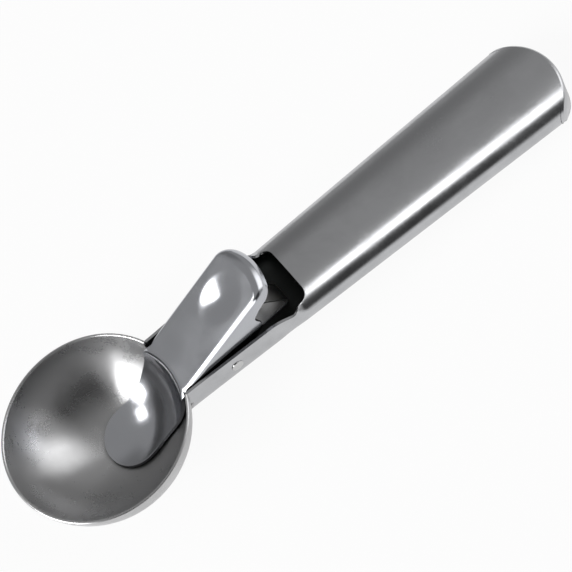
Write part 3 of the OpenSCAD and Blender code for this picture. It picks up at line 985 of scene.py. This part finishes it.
lever_rows = []
spread = [point[1] / tip_r
          for point in across(lambda y: (np.array([0, y, 0]), np.zeros(3)), tip_r, 0)]
for i in range(tip_rows + 1):
    q = i / tip_rows
    bulge = on_tip(tip_turn + (pi / 2 - tip_turn) * q)
    bulge = bulge - on_tip(tip_turn) * (1 - q) - np.array([0, 1]) * q
    row = []
    for v in spread:
        flat = on_tip(tip_turn * v) * (1 - q) + np.array([0, v]) * q + bulge * [v * v, v]
        x, y = tip_x + tip_r * flat[0], tip_r * flat[1]
        row.append(tongue_point(psi_at(x, y), y)[0])
    lever_rows.append(row)
for i in range(1, waist_rows + 1):
    x = tip_x + (waist_x - tip_x) * i / waist_rows
    lever_rows.append(across(lambda y: tongue_point(psi_at(x, y), y), tongue_half(x), 0))
waist_psi, bend_psi = psi_at(waist_x, 0), bend_at(0)[0]
for i in range(1, tongue_rows + 1):
    half = tongue_half(shell_a * sin(waist_psi + (bend_psi - waist_psi) * i / tongue_rows))
    lever_rows.append(across(lambda y: on_tongue(i / tongue_rows, y), half, 0))
for share in [i / bend_rows for i in range(1, bend_rows + 1)]:
    lever_rows.append(across(lambda y: on_bend(share, y), lever_half, bend_roll * ease(share)))
plate_first = len(lever_rows)
plate_from = plate_start(0)
for i in range(1, plate_rows + 1):
    run = (corner_s - plate_from) * i / plate_rows
    rolled = bend_roll + (1 - bend_roll) * ease(run / roll_run)
    lever_rows.append(across(lambda y: on_plate(plate_from + run, ease(run / blend_run), y),
                             lever_half, rolled))
skin = np.array(lever_rows)
print("lever's skin:", skin.shape[:2], "points")

# %% [markdown]
# The thumb end is a cap of its own: its last row lies along the end, so no row shrinks to a point.
# Around it runs a skirt that first rolls over and then drops as the lip.

# %% Thumb end
lip_steps = 3
pull = end_roll - side_roll
flat_half = lever_half - side_roll
corner_at = np.array(end_outline(corner_steps, side_roll, pull)[:2])
cap = []
for i in range(corner_steps + 1):
    q = i / corner_steps
    chord = np.array([corner_s, flat_half]) * (1 - q) + corner_at * q
    bulge = np.array(end_outline(i, side_roll, pull)[:2]) - chord
    for j in range(flat_columns):
        v = 2 * j / end_steps - 1
        end_s, end_y = end_outline(corner_steps + end_steps - j, side_roll, pull)[:2]
        s = corner_s * (1 - q) + end_s * q + bulge[0] * v * v
        y = v * flat_half * (1 - q) + end_y * q + bulge[1] * v
        cap.append(from_plate(s, y, -dish(s, y)))
cap = np.array(cap).reshape(-1, flat_columns, 3)
skirt = []
for i in range(2 * corner_steps + end_steps + 1):
    for g in range(roll_columns + 1):
        turned = pi / 2 * g / roll_columns
        shrink = 1 - sin(turned)
        s, y, share = end_outline(i, side_roll * shrink, pull * shrink)
        bottom = side_roll + pull * share
        skirt.append(from_plate(s, y, -bottom * (1 - cos(turned))))
    skirt += [from_plate(s, y, -bottom - (lip_depth - bottom) * g / lip_steps)
              for g in range(1, lip_steps + 1)]
skirt = np.array(skirt).reshape(-1, roll_columns + 1 + lip_steps, 3)
print("thumb end: cap", cap.shape[:2], "skirt", skirt.shape[:2])

# %% [markdown]
# Each side hangs from the rolled edge as one flat face: the flange, and the ear that goes down to
# the pin. Its outline is drawn once in the side view, with corners softened the way a press leaves
# them, and filled around the pin's hole.

# %% Ears
ear_r, ear_len, ear_corner_h, ear_bulge = 3.7, 12.4, 0.4, 1.3
ear_scallop, scallop_lead, scallop_dip = 1.4, 1.0, 0.3
ear_back = pivot[0] + ear_len
pin_at = np.array([pivot[0], pivot[2]])


def under_plate(x, depth):
    """A place in the side view, at a depth below the plate's top."""
    return x, (x - plate_x) * rise_tan - plate_drop - depth / rise_cos


def soften(points, rounds=3):
    """Cuts the corners off an open line of points, a quarter of each side at a time."""
    for _ in range(rounds):
        cut = [points[0]]
        for a, b in zip(points, points[1:]):
            a, b = np.array(a), np.array(b)
            cut += [a * 0.75 + b * 0.25, a * 0.25 + b * 0.75]
        points = cut + [points[-1]]
    return points


def round_pin(radius, angle):
    """A place in the side view, on a circle round the pin."""
    a = radians(angle)
    return pin_at + radius * np.array([cos(a), sin(a)])


ear_rear = [
    under_plate(plate_x + corner_s * rise_cos + lip_depth * rise_sin, lip_depth),
    under_plate(ear_back + scallop_lead, lip_depth + scallop_dip),
    under_plate(ear_back - ear_scallop / 3, lip_depth + ear_scallop * 2 / 3),
    under_plate(ear_back - ear_scallop, lip_depth + ear_scallop),
    (ear_back - ear_bulge, ear_corner_h + 4 * ear_bulge),
    (ear_back - ear_bulge / 2, ear_corner_h + 3 * ear_bulge),
    (ear_back, ear_corner_h + ear_bulge),
    (ear_back - ear_bulge, ear_corner_h),
    round_pin(ear_r, -40),
]
ear_first = plate_first + next(i for i in range(plate_rows)
                               if (corner_s - plate_from) * (i + 1) / plate_rows > roll_run)
front_x, _, front_z = skin[ear_first, 0]
ear_outline = soften(ear_rear)[1:]
ear_outline += [round_pin(ear_r, a) for a in range(-50, -150, -10)]
ear_outline += soften([round_pin(ear_r, -150), (front_x + lever_t, -notch_depth),
                       (front_x, front_z)])[:-1]
hole = [round_pin(pin_d / 2 + pin_gap, a) for a in range(0, 360, 12)]
print("ear's outline:", len(ear_outline), "points, and", len(hole), "round the pin")

# %% Lever mesh


def side_face(side, first):
    """Points and triangles of one flat side, seen from outside. side is 1 or -1."""
    column = columns - 1 if side > 0 else 0
    ring = [skin[i, column] for i in range(ear_first, plate_first + plate_rows)]
    ring += [p * [1, side, 1] for p in skirt[0, roll_columns + 1:]]
    ring += [np.array([x, side * lever_half, z]) for x, z in ear_outline]
    bore = [np.array([x, side * lever_half, z]) for x, z in hole]
    both = ring + bore
    faces = []
    for a, b, c in tessellate_polygon([[Vector((p[0], p[2], 0)) for p in loop]
                                       for loop in (ring, bore)]):
        turn = np.cross(both[b] - both[a], both[c] - both[a])[1] * side
        faces.append(tuple(first + i for i in ((a, b, c) if turn > 0 else (a, c, b))))
    return both, faces


points, faces = patchwork((skin, True), (cap, True), (skirt, True))
for side in (1, -1):
    more, triangles = side_face(side, len(points))
    points += more
    faces += triangles
lever = add_piece("lever_stamping", points, faces, pressed, "lever", "lever")
# Its rims and bevels take the near-black painted edge shadow.
sheet(lever, lever_t, edge=0.28, rim=edge_shadow)
print("lever:", len(lever.data.vertices), "points")

# %% [markdown]
# ## Pin and rivet
# Both are formed round parts, so they are lathe shapes: a shank with a low dome at each end.

# %% Pin and the spring's rivet
pin_head_d, pin_head_h = 3.6, 0.5
rivet_d, rivet_head_d, rivet_head_h, rivet_margin = 2.6, 4.6, 0.7, 0.7
head_wall, head_seat, head_chamfer, turned_steps = 0.25, 0.96, 0.08, 48
spring_w, spring_t, spring_foot, seat_gap = 6.4, 0.5, 11, 0.03


def turned_part(name, node, profile, at, axis):
    """A lathe shape of (radius, place along the axis) pairs. axis 1 is Y and axis 2 is Z."""
    points, faces = lathe(profile, turned_steps)
    points = np.array(points)
    if axis == 1:
        points = points[:, [0, 2, 1]]
    else:
        faces = [f[::-1] for f in faces]
    piece = add_piece(name, points + at, faces, rivet_steel, node)
    piece.data.set_sharp_from_angle(angle=cut_edge_turn)


def headed(shank_r, head_r, head_h, low, high):
    """Profile of a shank with a domed head at both ends. The heads' flats are at low and high."""
    head = [(shank_r, 0), (head_r * head_seat, 0), (head_r, head_h * head_chamfer)]
    for a in [radians(a) for a in range(0, 91, 10)]:
        head.append((head_r * cos(a), head_h * (head_wall + (1 - head_wall) * sin(a))))
    return [(r, low - h) for r, h in reversed(head)] + [(r, high + h) for r, h in head]


pin_half = neck_width(pivot[0]) / 2
turned_part("lever_pin", "pivot_pin",
            headed(pin_d / 2, pin_head_d / 2, pin_head_h, -pin_half, pin_half), pivot, axis=1)
foot_z = sheet_t - neck_depth + seat_gap + spring_t / 2
rivet_x = neck_back - spring_foot + rivet_margin + rivet_head_d / 2
turned_part("spring_rivet_formed", "spring_rivet",
            headed(rivet_d / 2, rivet_head_d / 2, rivet_head_h, -neck_depth, foot_z + spring_t / 2),
            (rivet_x, 0, 0), axis=2)
print("pin %.1f mm between its heads, rivet %.1f mm behind the pin" % (
    2 * pin_half, rivet_x - pivot[0]))

# %% [markdown]
# ## Spring
# The spring is a strip bent round a path: a foot on the neck's floor, a hairpin bend, a leaf that
# rises to the plate and a curled tip that slides under it. In the scoop it bends as the lever
# turns: its foot stays with the scoop and its tip follows the plate. Here it is drawn at rest.

# %% Spring's path
spring_bend_r, spring_back_leaf, spring_rise, spring_gap = 1.6, 7.4, 50, 0.1
spring_tip_r, spring_curl = 1.2, 100
foot_steps, back_steps, leaf_steps, turn_steps = 10, 8, 24, 16
floor_rise = neck_depth - tube_size(tube_start)[1]
back_slope = atan((floor_rise + 5 * seat_gap) / closing_len)
leaf_angle = radians(180 - spring_rise)
bend_mid_r, tip_mid_r = spring_bend_r - spring_t / 2, spring_tip_r - spring_t / 2


def along(angle):
    """The direction at an angle in the side view."""
    return np.array([cos(angle), sin(angle)])


def left_of(angle):
    return np.array([-sin(angle), cos(angle)])


def turn_points(middle, radius, start, end):
    """Points round a bend, from one direction of travel to another."""
    return [middle - radius * left_of(start + (end - start) * i / turn_steps)
            for i in range(turn_steps + 1)]


foot_end = np.array([neck_back, foot_z])
bend_start = foot_end + spring_back_leaf * along(back_slope)
bend_middle = bend_start + bend_mid_r * left_of(back_slope)
leaf_start = bend_middle - bend_mid_r * left_of(leaf_angle)
up = left_of(plate_rise)
clear = lever_t + dish_depth + spring_gap + spring_tip_r
to_plate = up @ (np.array([plate_x, -plate_drop]) - leaf_start - tip_mid_r * left_of(leaf_angle))
leaf_len = (to_plate - clear) / (up @ along(leaf_angle))
tip_middle = leaf_start + leaf_len * along(leaf_angle) + tip_mid_r * left_of(leaf_angle)
path = [foot_end - [spring_foot * (1 - i / foot_steps), 0] for i in range(foot_steps + 1)]
path += [foot_end + (bend_start - foot_end) * i / back_steps for i in range(1, back_steps)]
path += turn_points(bend_middle, bend_mid_r, back_slope, leaf_angle)
path += [leaf_start + leaf_len * along(leaf_angle) * i / leaf_steps for i in range(1, leaf_steps)]
path += turn_points(tip_middle, tip_mid_r, leaf_angle, leaf_angle + radians(spring_curl))
print("spring's leaf is %.1f mm long" % leaf_len)

# %% Spring
spring_columns = 13
points = [(x, y, z) for x, z in path
          for y in np.linspace(-spring_w / 2, spring_w / 2, spring_columns)]
spring = add_piece("spring_strip", points, grid(len(path), spring_columns, flip=True),
                   spring_steel, "return_spring", None)
sheet(spring, spring_t, edge=0.12, offset=0)
bake_modifiers(spring)
low_end, high_end = (tuple(to_row((x, 0, z))) for x, z in (bend_middle, tip_middle))
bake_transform(spring)
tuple(low_end)
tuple(high_end)
print("spring:", len(spring.data.vertices), "points")

# %% [markdown]
# ## Neck weld
# The neck is joined to the bowl by a fillet that was ground and polished, so it reads as a soft
# hollow corner with only a trace of ripple. Each of its sections is a small closed loop.

# %% Neck weld
weld_steps, fillet_steps, weld_end_turn = 90, 8, 0.13
fan_y, fan_z, fillet_pull, root = 11, 12, 0.12, 0.1


def ripple(i, *waves):
    """How far a weld stands out at row i. Each wave is (height, turn per row, start)."""
    return sum(height * sin(turn * i + start) for height, turn, start in waves)


weld_points = []
for i in range(weld_steps + 1):
    y, z = section(rim_r, -weld_end_turn + (2 * weld_end_turn - pi) * i / weld_steps)
    corner = np.array([bowl_x(y, z), y, z])
    outward = np.array([0, y / fan_y, z / fan_z])
    outward = outward / np.linalg.norm(outward)
    size = bead * (1 + ripple(i, (0.05, 9, 0), (0.04, 5.3, 1)))
    behind = corner + [size, 0, 0]
    beside = corner + outward * size
    beside[0] = bowl_x(beside[1], beside[2])
    middle = corner + outward * fillet_pull * bead
    for t in [j / fillet_steps for j in range(fillet_steps + 1)]:
        weld_points.append(behind * (1 - t) ** 2 + middle * 2 * t * (1 - t) + beside * t * t)
    weld_points.append(corner - outward * root - [root, 0, 0])
count = fillet_steps + 2
quads = bands(weld_steps + 1, count)
quads.append(tuple(range(count)))
quads.append(tuple(weld_steps * count + j for j in range(count))[::-1])
neck_weld = add_piece("neck_fillet", weld_points, quads, welded, "neck_weld")
print("neck weld:", len(weld_points), "points")

# %% [markdown]
# ## Seam weld
# The rolled sheet's two edges meet under the handle, where a bead was run along them and ground
# almost flush. It is one more narrow sheet, a little uneven, and follows the rounded end.

# %% Seam weld
seam_columns, seam_steps = 9, 200
seam_thin, seam_play, seam_sink, seam_crown = 0.1, 0.02, 0.06, 0.03
seam_rows = to_the_end(np.linspace(window_back, last, seam_steps))
points = []
for i, (x, end) in enumerate(seam_rows):
    w, h = tube_size(x)
    for y in (seam_w / 2 - seam_play) * np.linspace(-1, 1, seam_columns):
        z = -h / 2 - tube_rise(y, w, h) + seam_sink - seam_crown * (1 - (2 * y / seam_w) ** 2)
        z += ripple(i, (0.02, 2.9, 0), (0.012, 1.3, 2))
        points.append(end_point(y, z, *end) if end else (x, y, z))
seam = add_piece("underside_seam", points, grid(len(seam_rows), seam_columns), welded, "seam_weld")
# Its inner face takes the same near-black painted shade.
sheet(seam, sheet_t - seam_thin, edge=0.08, segments=2, inside=painted_inside_shade)
print("seam:", len(seam.data.vertices), "points")

# %% [markdown]
# ## End plate
# The end is closed by a thin plate that lies flush inside the rounded edge. It is drawn in rings
# that shrink to its middle, on the leaning, bowed face of the end.

# %% End plate
plate_rings, plate_turns, plate_recess, plate_gap = 12, 96, 0.03, 0.04
plate_inset = corner_roll + plate_gap
points = []
for k in range(1, plate_rings + 1):
    share = 1 - (1 - k / plate_rings) ** 2
    for m in range(plate_turns):
        x = corner_x
        for _ in range(4):
            w, h = tube_size(x)
            y, z = oval(2 * pi * m / plate_turns, w - 2 * plate_inset, -h + plate_inset,
                        -plate_inset, tube_n)
            x = end_x(y, z)
        y, z = y * share, -h / 2 + (z + h / 2) * share
        points.append((end_x(y, z) - plate_recess, y, z))
quads = [tuple(range(plate_turns))] + bands(plate_rings, plate_turns)
cap_piece = add_piece("end_plate", points, quads, satin, "end_cap")
modifier(cap_piece, "thickness", "SOLIDIFY", thickness=(cap_t - plate_recess) / 1000, offset=-1)
print("end plate:", len(cap_piece.data.vertices), "points")

# %% [markdown]
# ## What each lamp lights
# A small reflector held near one part lights little else. Light linking does the same here: the
# strip is for the handle's shoulder, and the other lamp for the lever's rolled edge.

# %% Link the lamps


def only_lights(lamp, *pieces):
    """Lets a lamp light these pieces and nothing else."""
    lit = bpy.data.collections.new(lamp.name + "_lights")
    for piece in pieces:
        lit.objects.link(piece)
    lamp.light_linking.receiver_collection = lit
    print(lamp.name, "lights", ", ".join(piece.name for piece in pieces))


only_lights(strip_lamp, handle, cap_piece)
only_lights(edge_lamp, lever)

# %% [markdown]
# ## Sizes
# The box of the imported solids and the box of the dressed scoop are printed side by side.
# The dressed scoop has to stay inside the box of the imported solids, so both boxes are written down.

# %% Sizes
low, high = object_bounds()
for axis, a, b, c, d in zip("XYZ", cad_low, cad_high, low, high):
    print("%s  solids %.2f to %.2f mm, dressed %.2f to %.2f mm" % (
        axis, a * 1000, b * 1000, c * 1000, d * 1000))
